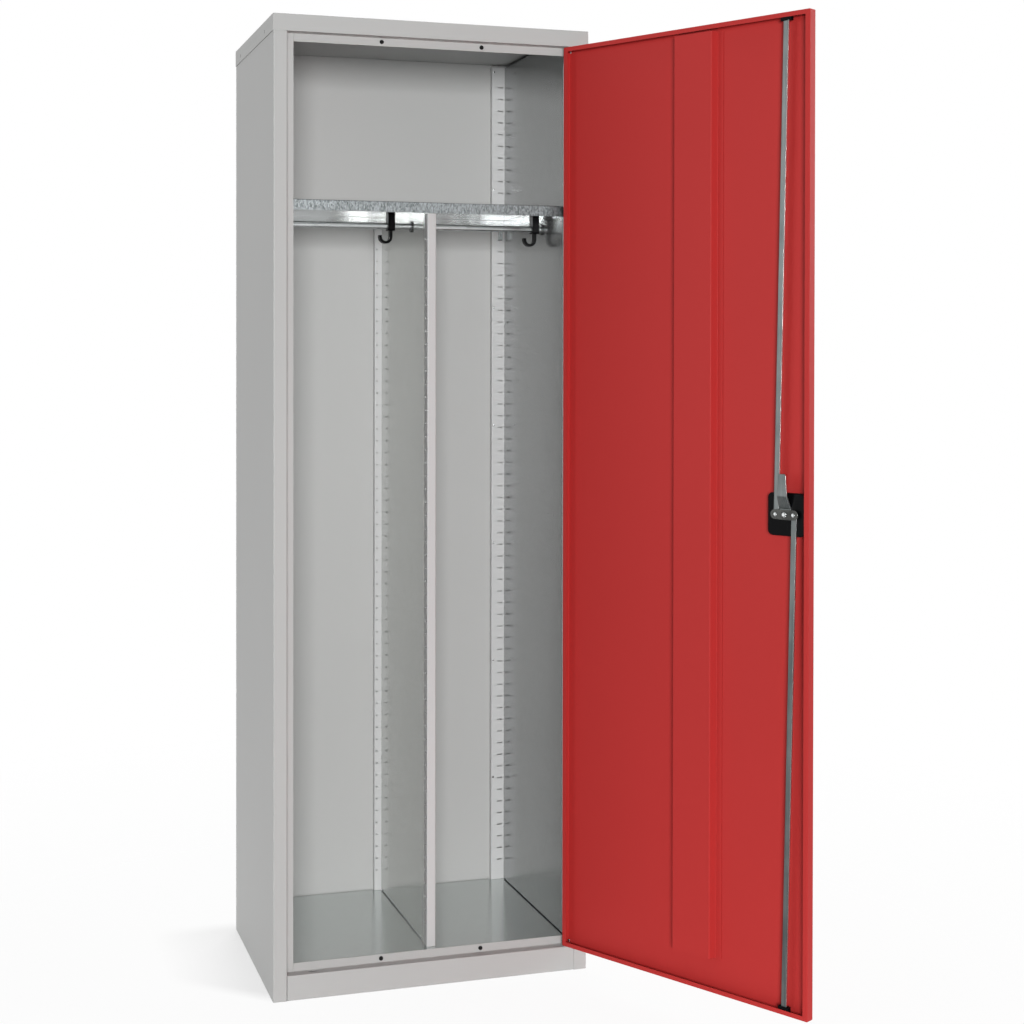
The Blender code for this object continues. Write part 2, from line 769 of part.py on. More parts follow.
def rails():
    """One hanging rail in each compartment, held in a ring socket at each end."""
    near = SHEET / 2 + FIT
    far = LINER_X - FIT
    bore = RAIL_DIAMETER / 2 + RAIL_PLAY
    outer = SOCKET_DIAMETER / 2
    ring = [(outer, SOCKET_THICKNESS), (outer, 0.0), (bore, 0.0), (bore, SOCKET_THICKNESS)]
    for name, side in (("left", -1.0), ("right", 1.0)):
        curve = bpy.data.curves.new(name + "_rail", "CURVE")
        curve.dimensions = "3D"
        curve.bevel_depth = RAIL_DIAMETER / 2
        curve.bevel_resolution = 4
        curve.use_fill_caps = True
        spline = curve.splines.new("POLY")
        spline.points.add(1)
        spline.points[0].co = (side * near, RAIL_Y, RAIL_Z, 1.0)
        spline.points[1].co = (side * far, RAIL_Y, RAIL_Z, 1.0)
        rail = bpy.data.objects.new(name + "_rail", curve)
        curve.materials.append(ZINC)
        PARTS.objects.link(rail)
        inwards = (0.0, side * math.pi / 2, 0.0)
        outwards = (0.0, -side * math.pi / 2, 0.0)
        turned(name + "_inner_rail_socket", ring, ZINC, (side * near, RAIL_Y, RAIL_Z), inwards, ring=True)
        turned(name + "_outer_rail_socket", ring, ZINC, (side * far, RAIL_Y, RAIL_Z), outwards, ring=True)


def coat_hook(name, x):
    """Moulded hook: a tall head that slides on the rail, and an arm that curls to the left."""
    frame = axis_frame(name + "_slide", (x, RAIL_Y, RAIL_Z))
    half = HOOK_WIDTH / 2
    foot = RAIL_Z - RAIL_DIAMETER / 2 - RAIL_PLAY - HOOK_WALL
    lo = (x - half, RAIL_Y - HOOK_DEPTH / 2, foot)
    hi = (x + half, RAIL_Y + HOOK_DEPTH / 2, SHELF_UNDER - HOOK_HEAD_GAP)
    head = rounded_block(name, lo, hi, 0, HOOK_WALL, BLACK_PLASTIC, frame, steps=2)
    turn_z = foot + HOOK_THICKNESS / 2 - HOOK_STEM
    left = x - 2 * HOOK_BEND_RADIUS - FIT
    bottom = turn_z - HOOK_BEND_RADIUS
    corners = [(x, foot + HOOK_WALL / 2), (x, bottom), (left, bottom), (left, turn_z + HOOK_TIP_RISE)]
    arm = folded_strip(
        name + "_arm",
        corners,
        "y",
        (RAIL_Y - HOOK_ARM_DEPTH / 2, RAIL_Y + HOOK_ARM_DEPTH / 2),
        None,
        frame,
        radius=HOOK_BEND_RADIUS,
        thickness=HOOK_THICKNESS,
    )
    boolean(head, arm, "UNION")
    bore = RAIL_DIAMETER / 2 + RAIL_PLAY
    boolean(head, cylinder(name + "_bore", (x, RAIL_Y, RAIL_Z), 0, bore, 2 * HOOK_WIDTH, None, frame))


# Door

def door_panel(door):
    """Door pan with its lips, the opening for the lock and the holes for rods and bushes."""
    to_front = Matrix.Rotation(math.pi / 2, 4, "X")
    lips = (DOOR_LIP_FREE, DOOR_LIP_HINGE, DOOR_LIP_ENDS, DOOR_LIP_ENDS)
    lo = (DOOR_FREE_X, DOOR_FOOT)
    hi = (DOOR_HINGE_X, DOOR_TOP)
    pan = folded_pan("door_panel", lo, hi, DOOR_DEPTH, to_front, RED_PAINT, door, lips)
    half = CUP_SIZE / 2 + FIT
    cup_lo = (HUB.x - half, -LAP, HUB.z - half)
    cup_hi = (HUB.x + half, 2 * LAP, HUB.z + half)
    boolean(pan, rounded_block("lock_opening", cup_lo, cup_hi, 1, COVER_CORNER, None, door))
    half = ROD_WIDTH / 2 + ROD_SIDE_PLAY
    for name, z in (("upper", DOOR_TOP - SHEET / 2), ("lower", DOOR_FOOT + SHEET / 2)):
        slot_lo = (HUB.x - half, ROD_FRONT - ROD_LIP_PLAY / 2, z - LAP)
        slot_hi = (HUB.x + half, ROD_REAR + ROD_LIP_PLAY / 2, z + LAP)
        boolean(pan, box_cutter(name + "_door_rod_slot", [(slot_lo, slot_hi)], door))
        hole = cylinder(name + "_bush_hole", (PIVOT.x, PIVOT.y, z), 2, BUSH_OUTER + FIT, 2 * LAP, None, door)
        boolean(pan, hole)


def door_stiffener(door):
    """Top-hat section on the inside of the door skin."""
    skin = SHEET + FIT + SHEET / 2
    crown = DOOR_DEPTH - SHEET - SHEET / 2
    start = DOOR_HINGE_X - STIFFENER_FROM_HINGE
    end = start - STIFFENER_CROWN
    profile = [
        (start + STIFFENER_SLOPE + STIFFENER_FLANGE, skin),
        (start + STIFFENER_SLOPE, skin),
        (start, crown),
        (end, crown),
        (end - STIFFENER_SLOPE, skin),
        (end - STIFFENER_SLOPE - STIFFENER_FLANGE, skin),
    ]
    foot = DOOR_FOOT + STIFFENER_FOOT_GAP
    top = DOOR_TOP - STIFFENER_HEAD_GAP
    folded_strip("door_stiffener", profile, "z", (foot, top), RED_PAINT, door)


def hinge_bushes(door):
    """Flanged bushes in the door's end flanges, running on the hinge pins."""
    rim = PIVOT_DEPTH - FIT
    profile = [
        (rim, FIT + BUSH_FLANGE),
        (rim, FIT),
        (BUSH_OUTER, FIT),
        (BUSH_OUTER, -BUSH_LENGTH),
        (PIN_BORE, -BUSH_LENGTH),
        (PIN_BORE, FIT + BUSH_FLANGE),
    ]
    upper = (PIVOT.x, PIVOT.y, DOOR_TOP)
    lower = (PIVOT.x, PIVOT.y, DOOR_FOOT)
    turned("upper_hinge_bush", profile, NYLON, upper, frame=door, ring=True)
    turned("lower_hinge_bush", profile, NYLON, lower, (math.pi, 0.0, 0.0), door, ring=True)


def rod_guides(door):
    """Black guides under the end flanges; their slots leave the rods room to swing a little."""
    half_slot = ROD_WIDTH / 2 + ROD_SIDE_PLAY
    half = half_slot + GUIDE_WALL
    front = ROD_FRONT - ROD_LIP_PLAY / 2
    rear = DOOR_DEPTH - SHEET - FIT
    inner = DOOR_TOP - SHEET - FIT
    ends = (("upper_rod_guide", inner - GUIDE_HEIGHT, inner),)
    inner = DOOR_FOOT + SHEET + FIT
    ends += (("lower_rod_guide", inner, inner + GUIDE_HEIGHT),)
    for name, low, high in ends:
        lo = (HUB.x - half, front - GUIDE_FRONT_WALL, low)
        hi = (HUB.x + half, rear, high)
        guide = rounded_block(name, lo, hi, 2, GUIDE_WALL / 4, BLACK_PLASTIC, door, steps=2)
        slot_lo = (HUB.x - half_slot, front, low - LAP)
        slot_hi = (HUB.x + half_slot, ROD_REAR + ROD_LIP_PLAY / 2, high + LAP)
        boolean(guide, box_cutter(name + "_slot", [(slot_lo, slot_hi)], door))


# Lock

def lock_dish(door):
    """Outer moulding: a bezel on the door's face and a cup with a round finger dish."""
    half = BEZEL_SIZE / 2
    lo = (HUB.x - half, -BEZEL_PROUD - FIT, HUB.z - half)
    hi = (HUB.x + half, -FIT, HUB.z + half)
    dish = rounded_block("lock_dish", lo, hi, 1, COVER_CORNER + COVER_WALL, BLACK_PLASTIC, door)
    half = CUP_SIZE / 2
    cup_lo = (HUB.x - half, -FIT - BEZEL_PROUD / 2, HUB.z - half)
    cup_hi = (HUB.x + half, DISH_REAR, HUB.z + half)
    boolean(dish, rounded_block("dish_cup", cup_lo, cup_hi, 1, COVER_CORNER, None, door), "UNION")
    mouth = -BEZEL_PROUD - FIT
    radius = DISH_DIAMETER / 2
    slope = DISH_TAPER / (DISH_INNER - mouth)
    start = mouth - LAP
    centre = (HUB.x, (start + DISH_INNER) / 2, HUB.z)
    deep = DISH_INNER - start
    wide = radius + slope * LAP
    narrow = radius - DISH_TAPER
    boolean(dish, cylinder("dish_hollow", centre, 1, wide, deep, None, door, steps=40, end_radius=narrow))
    bore = cylinder("dish_bore", (HUB.x, DISH_REAR, HUB.z), 1, SPINDLE_BORE, 4 * DISH_FLOOR, None, door)
    boolean(dish, bore)


def lock_cover(door):
    """Inner moulding: a cover that closes over the cup and carries the spindle."""
    lo = (HUB.x - COVER_WIDTH / 2, LAP, HUB.z - COVER_HEIGHT / 2)
    hi = (HUB.x + COVER_WIDTH / 2, COVER_REAR, HUB.z + COVER_HEIGHT / 2)
    cover = rounded_block("lock_cover", lo, hi, 1, COVER_CORNER, BLACK_PLASTIC, door, rim=COVER_FLOOR / 2)
    half = CUP_SIZE / 2 + FIT
    in_lo = (HUB.x - half, -LAP, HUB.z - half)
    in_hi = (HUB.x + half, COVER_INNER, HUB.z + half)
    boolean(cover, rounded_block("cover_hollow", in_lo, in_hi, 1, COVER_CORNER - FIT, None, door))
    bore = cylinder("cover_bore", (HUB.x, COVER_REAR, HUB.z), 1, SPINDLE_BORE, 4 * COVER_FLOOR, None, door)
    boolean(cover, bore)


def turn_grip(lock):
    """Grip bar on a round hub, bored for the key barrel."""
    half = GRIP_LENGTH / 2
    lo = (HUB.x - GRIP_WIDTH / 2, GRIP_FRONT, HUB.z - half)
    hi = (HUB.x + GRIP_WIDTH / 2, GRIP_REAR, HUB.z + half)
    grip = rounded_block("turn_grip", lo, hi, 1, GRIP_END_RADIUS, BLACK_PLASTIC, lock)
    centre = (HUB.x, (GRIP_FRONT + GRIP_REAR) / 2, HUB.z)
    hub = cylinder("grip_hub", centre, 1, GRIP_HUB / 2, GRIP_REAR - GRIP_FRONT, None, lock, steps=24)
    boolean(grip, hub, "UNION")
    bore = BARREL_DIAMETER / 2 + BARREL_PLAY
    deep = BARREL_DEPTH + BARREL_PLAY
    centre = (HUB.x, GRIP_FRONT - LAP + (deep + LAP) / 2, HUB.z)
    boolean(grip, cylinder("barrel_bore", centre, 1, bore, deep + LAP, None, lock))


def key_barrel(barrel):
    """Lock barrel in the grip, with its keyway."""
    centre = (HUB.x, GRIP_FRONT + BARREL_DEPTH / 2, HUB.z)
    piece = cylinder("key_barrel", centre, 1, BARREL_DIAMETER / 2, BARREL_DEPTH, ZINC, barrel)
    lo = (HUB.x - KEYWAY_WIDTH / 2, GRIP_FRONT - LAP, HUB.z - KEYWAY_LENGTH / 2)
    hi = (HUB.x + KEYWAY_WIDTH / 2, GRIP_FRONT + KEYWAY_DEPTH, HUB.z + KEYWAY_LENGTH / 2)
    boolean(piece, box_cutter("keyway", [(lo, hi)], barrel))


def spindle_and_cam(lock):
    """Square spindle, oval cam plate with the two rod pins, and the screw that holds them."""
    half = SPINDLE_SIZE / 2
    lo = (HUB.x - half, GRIP_REAR + FIT, HUB.z - half)
    hi = (HUB.x + half, CAM_REAR, HUB.z + half)
    rounded_block("lock_spindle", lo, hi, 1, SPINDLE_PLAY, ZINC, lock, steps=1)
    square = half + SPINDLE_PLAY
    straight = (CAM_LENGTH - CAM_WIDTH) / 2
    upright = stadium((0.0, -straight), (0.0, straight), CAM_WIDTH / 2)
    outline = [(y, x) for x, y in upright]
    holes = [[(-square, -square), (square, -square), (square, square), (-square, square)]]
    for side in (-1.0, 1.0):
        holes.append(round_hole((side * ROD_THROW, 0.0), ROD_PIN_DIAMETER / 2 + ROD_PIN_PLAY))
    where = (HUB.x, (CAM_FRONT + CAM_REAR) / 2, HUB.z)
    flat_plate("cam_plate", [outline] + holes, CAM_THICKNESS, where, ZINC, lock)
    radius = ROD_PIN_DIAMETER / 2
    length = CAM_THICKNESS + ROD_THICKNESS + 2 * FIT
    rivet = domed_head(ROD_PIN_HEAD / 2, ROD_PIN_HEAD_RISE)
    rivet += [(radius, 0.0), (radius, -length), (0.0, -length)]
    inward = (-math.pi / 2, 0.0, 0.0)
    for name, side in (("upper_rod_pin", 1.0), ("lower_rod_pin", -1.0)):
        turned(name, rivet, ZINC, (HUB.x + side * ROD_THROW, CAM_REAR + FIT, HUB.z), inward, lock)
    screw = domed_head(SCREW_HEAD / 2, SCREW_HEAD_RISE) + [(0.0, 0.0)]
    turned("hub_screw", screw, ZINC, (HUB.x, CAM_REAR + FIT, HUB.z), inward, lock)


def latch_tongue(lock):
    """Tongue that points up when unlocked; its crank carries the tip behind the door stop."""
    low = ROD_MIDDLE
    high = REBATE + SHEET + TONGUE_BEHIND_STOP + TONGUE_THICKNESS / 2
    start = HUB.z + TONGUE_CRANK_START
    tip = TONGUE_TIP / 2
    corner = TONGUE_TIP_RADIUS
    shoulder = HUB.z + TONGUE_REACH - corner
    neck = start + TONGUE_CRANK_RUN
    tail = HUB.z - TONGUE_TAIL
    line = [(low, tail), (low, start), (high, neck), (high, shoulder)]
    path = []
    for y, z in rounded_path(line, TONGUE_THICKNESS):
        down = (shoulder - z) / (shoulder - tail)
        path.append((y, z, tip + down * (TONGUE_BASE - TONGUE_TIP) / 2))
    for step in range(1, TIP_STEPS + 1):
        turn = math.pi / 2 * step / TIP_STEPS
        path.append((high, shoulder + corner * math.sin(turn), tip - corner + corner * math.cos(turn)))
    bm = bmesh.new()
    chains = []
    for side in (-1.0, 1.0):
        row = [bm.verts.new((HUB.x + side * width, y, z)) for y, z, width in path]
        chains += [bm.edges.new(pair) for pair in zip(row, row[1:])]
    bmesh.ops.bridge_loops(bm, edges=chains)
    tongue = mesh_object("latch_tongue", bm, ZINC, lock)
    solidify(tongue, TONGUE_THICKNESS, 0.0)
    square = SPINDLE_SIZE / 2 + SPINDLE_PLAY
    lo = (HUB.x - square, ROD_FRONT - LAP, HUB.z - square)
    hi = (HUB.x + square, ROD_REAR + LAP, HUB.z + square)
    boolean(tongue, box_cutter("tongue_square_hole", [(lo, hi)], lock))


def lock_rods(lock):
    """Flat rods, each pinned to the cam plate and run, slightly slanted, to its guide."""
    hole = round_hole((0.0, 0.0), ROD_PIN_DIAMETER / 2 + ROD_PIN_PLAY)
    ends = (
        ("upper_rod", 1.0, DOOR_TOP - ROD_END_SUNK, DOOR_TOP - SHEET),
        ("lower_rod", -1.0, DOOR_FOOT + ROD_END_SUNK, DOOR_FOOT + SHEET),
    )
    for name, side, tip_z, guide_z in ends:
        pin = Vector((HUB.x + side * ROD_THROW, ROD_MIDDLE, HUB.z))
        slant = math.atan2(ROD_THROW, abs(guide_z - HUB.z))
        frame = axis_frame(name + "_pin_axis", pin, lock)
        length = abs(tip_z - HUB.z) / math.cos(slant) - ROD_WIDTH / 2
        low = (0.0, 0.0) if side > 0.0 else (0.0, -length)
        high = (0.0, length) if side > 0.0 else (0.0, 0.0)
        outline = stadium(low, high, ROD_WIDTH / 2)
        flat_plate(name, [outline, hole], ROD_THICKNESS, pin, ZINC, frame, turn=-slant)


def build():
    side_panels()
    back_panel()
    top_cap()
    plinth_and_header()
    floor_pan()
    buffers()
    hinge_pins()
    liners_and_uprights()
    divider()
    shelf()
    shelf_clips()
    rails()
    coat_hook("left_coat_hook", -LEFT_HOOK_FROM_DIVIDER)
    coat_hook("right_coat_hook", LINER_X - RIGHT_HOOK_FROM_LINER)
    door = axis_frame("door_axis", PIVOT, turn=(0.0, 0.0, DOOR_OPEN))
    door_panel(door)
    door_stiffener(door)
    hinge_bushes(door)
    rod_guides(door)
    lock_dish(door)
    lock_cover(door)
    lock = axis_frame("lock_axis", HUB, door)
    turn_grip(lock)
    key_barrel(axis_frame("barrel_axis", HUB, lock))
    spindle_and_cam(lock)
    latch_tongue(lock)
    lock_rods(lock)


build()
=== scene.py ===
"""Looks of the clothing locker: finishes, small fittings, light and the photograph's camera."""
import math

import bmesh
import bpy
from mathutils import Matrix, Vector


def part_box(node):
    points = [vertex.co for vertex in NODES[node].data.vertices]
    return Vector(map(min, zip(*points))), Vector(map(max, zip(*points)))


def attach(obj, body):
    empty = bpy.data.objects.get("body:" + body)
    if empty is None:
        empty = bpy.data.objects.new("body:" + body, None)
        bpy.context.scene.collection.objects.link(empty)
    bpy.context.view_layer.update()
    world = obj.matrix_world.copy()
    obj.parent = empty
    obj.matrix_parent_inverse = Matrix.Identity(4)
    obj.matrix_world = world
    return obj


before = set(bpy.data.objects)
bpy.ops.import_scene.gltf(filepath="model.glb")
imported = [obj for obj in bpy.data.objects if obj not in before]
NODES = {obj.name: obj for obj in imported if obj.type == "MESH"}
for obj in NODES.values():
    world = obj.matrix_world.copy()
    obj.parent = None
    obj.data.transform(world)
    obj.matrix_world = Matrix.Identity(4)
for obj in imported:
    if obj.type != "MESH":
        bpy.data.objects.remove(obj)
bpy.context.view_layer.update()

# Camera of the photograph: metres, radians and pixels, and millimetres for its sensor
CAMERA_AT = (-0.8685, -3.1043, 1.1828)
CAMERA_YAW = math.radians(17.247)
CAMERA_PITCH = math.radians(-0.511)
CAMERA_ROLL = math.radians(0.076)
FOCAL_PIXELS = 1726.2
CENTRE_PIXELS = (483.4, 369.0)
PICTURE = 1024
SENSOR = 36.0

# Rivets in the sides of the top cap, drawn as bumps under a painted shade
RIVETS_FROM_FRONT = (0.087, 0.362)
RIVET_HEIGHT = 0.0115
RIVET_DIAMETER = 0.007

# Spot welds down the rear uprights
WELD_DIAMETER = 0.0045
WELD_RISE = 0.0008
WELD_PITCH = 0.251
WELD_FROM_TOP = 0.010
WELD_FROM_EDGE = 0.004
WELD_SIDES = 20
WELD_EASE = 0.85
WELD_EASE_STEPS = 4
FORWARDS = (0.0, -1.0, 0.0)
SMOOTH_UP_TO = math.radians(50.0)

# Direction from the hinges to the lock of the door as it stands open
DOOR_OPEN = math.radians(119.0)
DOOR_ALONG = (-math.cos(DOOR_OPEN), -math.sin(DOOR_OPEN), 0.0)

# Widths of worn or rounded edges
PAINT_EDGE = 0.0012
STEEL_EDGE = 0.0007
STEEL_ARRIS = 0.0012
PLASTIC_EDGE = 0.0008
EDGE_SAMPLES = 6

# Where a mask starts and ends: how far an edge turns, and how squarely a face looks
EDGE_TURN = (0.02, 0.25)
SQUARE_ON = (0.5, 0.9)

# Patterns of the finishes, in features to the metre
PAINT_DRIFT = 2.2
PAINT_PEEL = 620.0
PAINT_WEAR = 45.0
ZINC_SPANGLE = 160.0
ZINC_CLOUDS = 5.0
ZINC_ROLLING = 40.0
SHELF_FROST = 430.0
SHELF_SPANGLE = 560.0
SHELF_CLOUDS = 6.0
STEEL_STREAKS = 60.0
STEEL_CLOUDS = 25.0

# Stretches of those patterns along X, Y and Z
EVEN = (1.0, 1.0, 1.0)
ROLLED_UPRIGHT = (8.0, 8.0, 0.35)
FROSTED_UPRIGHT = (1.0, 1.0, 0.22)
SPANGLED_UPRIGHT = (1.0, 1.0, 0.45)
DRAWN_UPRIGHT = (6.0, 6.0, 0.15)
DRAWN_LEVEL = (0.15, 6.0, 6.0)

# Shades of a finish's own colour, and the painted shade over the cap's rivet heads
DRIFT_SHADES = (0.965, 1.035)
RIVET_PAINTED_SHADE = 0.25
THIN_SHADE = 1.3
SPECK_SHADES = (0.8, 1.2)
POLISHED_SHADE = 2.2

# Depths of the relief in the finishes
SHEET_RELIEF = 0.0004
FITTING_RELIEF = 0.0003

# Lip of the shelf: where its frosted front ends and its smooth sheet begins
LIP_END = 0.0015
SMOOTH_START = 0.004

# Lamps: place, target, size and power
LAMPS = (
    ("front_light", (-1.4, -6.5, 1.45), (0.0, 0.2, 0.9), (1.8, 1.4), 345.0),
    ("left_light", (-4.5, 0.6, 1.6), (0.0, 0.2, 0.9), (3.0, 3.0), 58.0),
    ("right_light", (4.5, -0.6, 2.2), (0.2, 0.2, 0.9), (2.6, 2.6), 90.0),
    ("back_light", (1.5, 5.0, 2.2), (0.0, 0.4, 0.9), (3.0, 3.0), 125.0),
    ("top_light", (0.0, 0.4, 4.6), (0.0, 0.2, 0.0), (3.0, 3.0), 40.0),
)

# Light from all round, and the white backdrop
AMBIENT = 0.06
BACKDROP = 1.0
WHITE = (1.0, 1.0, 1.0, 1.0)

# Floor, which glows white and fades into the backdrop
FLOOR_HALF = 30.0
FLOOR_DROP = 0.0005
FLOOR_PAPER = (0.85, 0.85, 0.85, 1.0)
FLOOR_ROUGHNESS = 0.8
FLOOR_GLOW = 0.94
FADE_START = 0.9
FADE_END = 2.2
UNDER_EDGE = 0.012

# Painted shadow on the floor at the left foot, where the floor's glow is lowered
SHADOW_REACH = 0.17
SHADOW_END = 0.05
SHADOW_SLANT = 0.9
SHADOW_DEPTH = 0.36

# Sockets of a colour Mix node
MIX_FACTOR = 0
MIX_A = 6
MIX_B = 7
MIX_RESULT = 2


# Shader expressions

class Value:
    """A number that changes over a surface; arithmetic on it adds Math nodes."""

    def __init__(self, finish, socket):
        self.finish = finish
        self.socket = socket

    def math(self, operation, first, second=0.0, clamp=False):
        settings = {"operation": operation, "use_clamp": clamp}
        return self.finish.node("ShaderNodeMath", settings, {0: first, 1: second})

    def __add__(self, other):
        return self.math("ADD", self, other)

    def __sub__(self, other):
        return self.math("SUBTRACT", self, other)

    def __rsub__(self, other):
        return self.math("SUBTRACT", other, self)

    def __mul__(self, other):
        return self.math("MULTIPLY", self, other)

    def __truediv__(self, other):
        return self.math("DIVIDE", self, other)

    __radd__ = __add__
    __rmul__ = __mul__

    def root(self):
        return self.math("SQRT", self)

    def unsigned(self):
        return self.math("ABSOLUTE", self)

    def clipped(self):
        """Kept between 0 and 1."""
        return self.math("ADD", self, clamp=True)

    def sharpened(self, low, high):
        """0 below low, 1 above high and a ramp between."""
        return ((self - low) / (high - low)).clipped()


class Finish:
    """A node tree in the making."""

    def __init__(self, tree):
        self.tree = tree

    def node(self, kind, settings, sockets, result=0):
        """Add a node, make its settings, then fill its sockets; the answer is its result socket."""
        made = self.tree.nodes.new(kind)
        for name, setting in settings.items():
            setattr(made, name, setting)
        for name, filling in sockets.items():
            self.fill(made.inputs[name], filling)
        return Value(self, made.outputs[result])

    def fill(self, socket, filling):
        """Link a value to a socket, or set a constant on it."""
        if isinstance(filling, Value):
            self.tree.links.new(filling.socket, socket)
        else:
            socket.default_value = filling

    def end(self, surface):
        """Link the last shader to the output."""
        for last in self.tree.nodes:
            if last.bl_idname in ("ShaderNodeOutputMaterial", "ShaderNodeOutputWorld"):
                self.fill(last.inputs["Surface"], surface)


class Surface(Finish):
    """The finish of a piece; its constants are set on its Principled shader."""

    def __init__(self, name, constants):
        self.material = bpy.data.materials.new(name)
        self.material.use_nodes = True
        super().__init__(self.material.node_tree)
        self.shader = self.tree.nodes["Principled BSDF"]
        for socket, constant in constants.items():
            self.set(socket, constant)
        self.place = self.node("ShaderNodeTexCoord", {}, {}, "Object")

    def set(self, name, filling):
        self.fill(self.shader.inputs[name], filling)

    def stretched(self, stretch):
        return self.node("ShaderNodeMapping", {}, {"Vector": self.place, "Scale": stretch})

    def across(self, axis):
        """Place along one axis, in metres."""
        return self.node("ShaderNodeSeparateXYZ", {}, {"Vector": self.place}, axis)

    def noise(self, scale, detail=2.0, stretch=EVEN):
        sockets = {"Vector": self.stretched(stretch), "Scale": scale, "Detail": detail}
        return self.node("ShaderNodeTexNoise", {}, sockets)

    def crystals(self, scale, stretch=EVEN):
        """A random grey for each crystal of a zinc coat."""
        sockets = {"Vector": self.stretched(stretch), "Scale": scale}
        colour = self.node("ShaderNodeTexVoronoi", {}, sockets, "Color")
        return self.node("ShaderNodeSeparateColor", {}, {"Color": colour}, "Red")

    def spot(self, y, z, radius):
        """1 at a place on the YZ plane, falling to 0 at the radius."""
        along = self.across("Y") - y
        rise = self.across("Z") - z
        away = (along * along + rise * rise).root()
        return (1.0 - away / radius).clipped()

    def likeness(self, one, other):
        """Dot product of two directions."""
        sockets = {0: one, 1: other}
        return self.node("ShaderNodeVectorMath", {"operation": "DOT_PRODUCT"}, sockets, "Value")

    def rounded(self, radius):
        """Normal of a surface whose sharp edges are rounded."""
        return self.node("ShaderNodeBevel", {"samples": EDGE_SAMPLES}, {"Radius": radius})

    def edges(self, width):
        """1 on sharp edges, 0 a width away from them."""
        flat = self.node("ShaderNodeNewGeometry", {}, {}, "Normal")
        return (1.0 - self.likeness(self.rounded(width), flat)).sharpened(*EDGE_TURN)

    def facing(self, direction):
        """1 on faces that look along a direction or against it, 0 on those that look across it."""
        normal = self.node("ShaderNodeTexCoord", {}, {}, "Normal")
        return self.likeness(normal, direction).unsigned().sharpened(*SQUARE_ON)

    def mixed(self, factor, one, other):
        """Colour that goes from one to other; each is a colour or another mix."""
        sockets = {MIX_FACTOR: factor, MIX_A: full(one), MIX_B: full(other)}
        return self.node("ShaderNodeMix", {"data_type": "RGBA"}, sockets, MIX_RESULT)

    def bumps(self, height, strength, depth, arris=0.0):
        """Relief of a height, over sharp edges that are rounded to the radius of an arris."""
        sockets = {"Height": height, "Strength": strength, "Distance": depth}
        if arris:
            sockets["Normal"] = self.rounded(arris)
        self.set("Normal", self.node("ShaderNodeBump", {}, sockets))


def full(colour):
    """A colour with its alpha; a mix is left as it is."""
    return colour if isinstance(colour, Value) else (*colour, 1.0)


def shade(colour, factor):
    """A colour made darker or lighter."""
    return tuple(c * factor for c in colour)


# Finishes

def powder_coat(name, colour, roughness, specular, rivets=()):
    """Satin powder coat: fine orange peel, a faint drift of tone, paint drawn thin over the edges.

    rivets gives the places, along Y and Z, of painted-over rivet heads, each drawn as a bump under a
    painted shade that darkens the disc, most towards its edge.
    """
    paint = Surface(name, {"Specular IOR Level": specular})
    drift = paint.noise(PAINT_DRIFT)
    peel = paint.noise(PAINT_PEEL)
    rub = paint.edges(PAINT_EDGE) * paint.noise(PAINT_WEAR, detail=3.0).sharpened(0.35, 0.75)
    body = paint.mixed(drift, *(shade(colour, factor) for factor in DRIFT_SHADES))
    relief = peel * 0.1
    for y, z in rivets:
        head = paint.spot(y, z, RIVET_DIAMETER / 2)
        # Painted shade over each rivet head: a dark disc, darkest towards its edge, with a lighter
        # centre
        rivet_painted_shade = head.sharpened(0.0, 0.15) - head.sharpened(0.5, 0.7) * 0.6
        body = paint.mixed(rivet_painted_shade, body, shade(colour, RIVET_PAINTED_SHADE))
        relief = relief + head.sharpened(0.0, 0.7) * 2.5
    paint.set("Base Color", paint.mixed(rub * 0.5, body, shade(colour, THIN_SHADE)))
    paint.set("Roughness", peel * 0.06 + roughness - rub * 0.08)
    paint.bumps(relief, 1.0, SHEET_RELIEF)
    return paint.material


def galvanised(name, dark, light, roughness, metallic):
    """Zinc-coated sheet: crystals that differ in tone and gloss, clouds, and fine rolling lines."""
    sheet = Surface(name, {"Metallic": metallic})
    crystal = sheet.crystals(ZINC_SPANGLE)
    cloud = sheet.noise(ZINC_CLOUDS, detail=3.0)
    rolled = sheet.noise(ZINC_ROLLING, stretch=ROLLED_UPRIGHT)
    tone = (crystal * 0.30 + cloud * 0.35 + rolled * 0.35).sharpened(0.2, 0.8)
    sheet.set("Base Color", sheet.mixed(tone, dark, light))
    sheet.set("Roughness", crystal * 0.03 + cloud * 0.05 + roughness)
    sheet.bumps(rolled, 0.03, SHEET_RELIEF)
    return sheet.material


def frosted_zinc(name, dark, light, roughness, smooth, smooth_roughness, metallic):
    """Spangled shelf sheet: a fine upright frost on its front lip, smooth and bright behind it."""
    sheet = Surface(name, {"Metallic": metallic})
    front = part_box("hat_shelf")[0][1]
    frost = sheet.noise(SHELF_FROST, detail=4.0, stretch=FROSTED_UPRIGHT)
    crystal = sheet.crystals(SHELF_SPANGLE, SPANGLED_UPRIGHT)
    cloud = sheet.noise(SHELF_CLOUDS, detail=3.0)
    behind = sheet.across("Y").sharpened(front + LIP_END, front + SMOOTH_START)
    tone = (frost * 0.50 + crystal * 0.35 + cloud * 0.15).sharpened(0.25, 0.75)
    sheet.set("Base Color", sheet.mixed(behind, sheet.mixed(tone, dark, light), smooth))
    lip = 1.0 - behind
    sheet.set("Roughness", (frost * 0.16 + roughness) * lip + behind * smooth_roughness)
    sheet.bumps(frost * lip, 0.06, SHEET_RELIEF)
    return sheet.material


